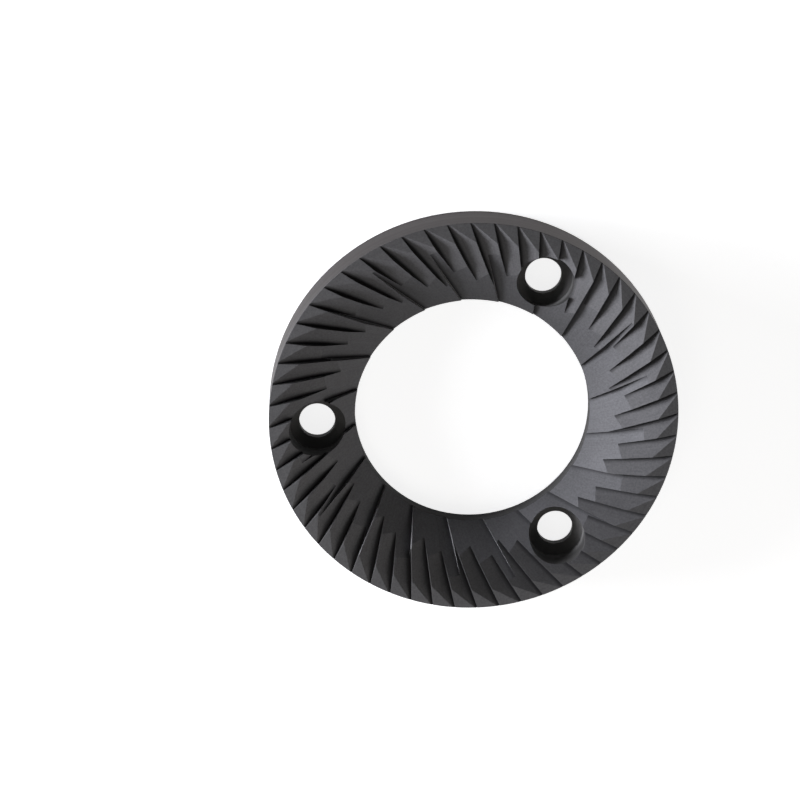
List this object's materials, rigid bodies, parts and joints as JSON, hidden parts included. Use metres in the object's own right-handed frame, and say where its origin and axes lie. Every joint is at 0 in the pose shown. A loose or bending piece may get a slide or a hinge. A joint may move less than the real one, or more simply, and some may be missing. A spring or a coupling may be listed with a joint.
{
  "type": "coffee grinder burr",
  "caption": "Flat ring-shaped coffee grinder burr: swirled finishing teeth at the rim and deeper breaker teeth at the wide centre bore cut the beans, screw holes with head pockets hold it down.",
  "frame": {"origin": "centre of the ring on its flat back face", "axes": "+Z along the ring's axis, out of the toothed face; +X through one screw hole"},
  "size_m": [0.064, 0.064, 0.007],
  "materials": {
    "coated_steel": "hardened steel with a matt graphite-grey hard coating"
  },
  "bodies": {
    "root": {"burr_ring": "coated_steel"}
  },
  "joints": []
}
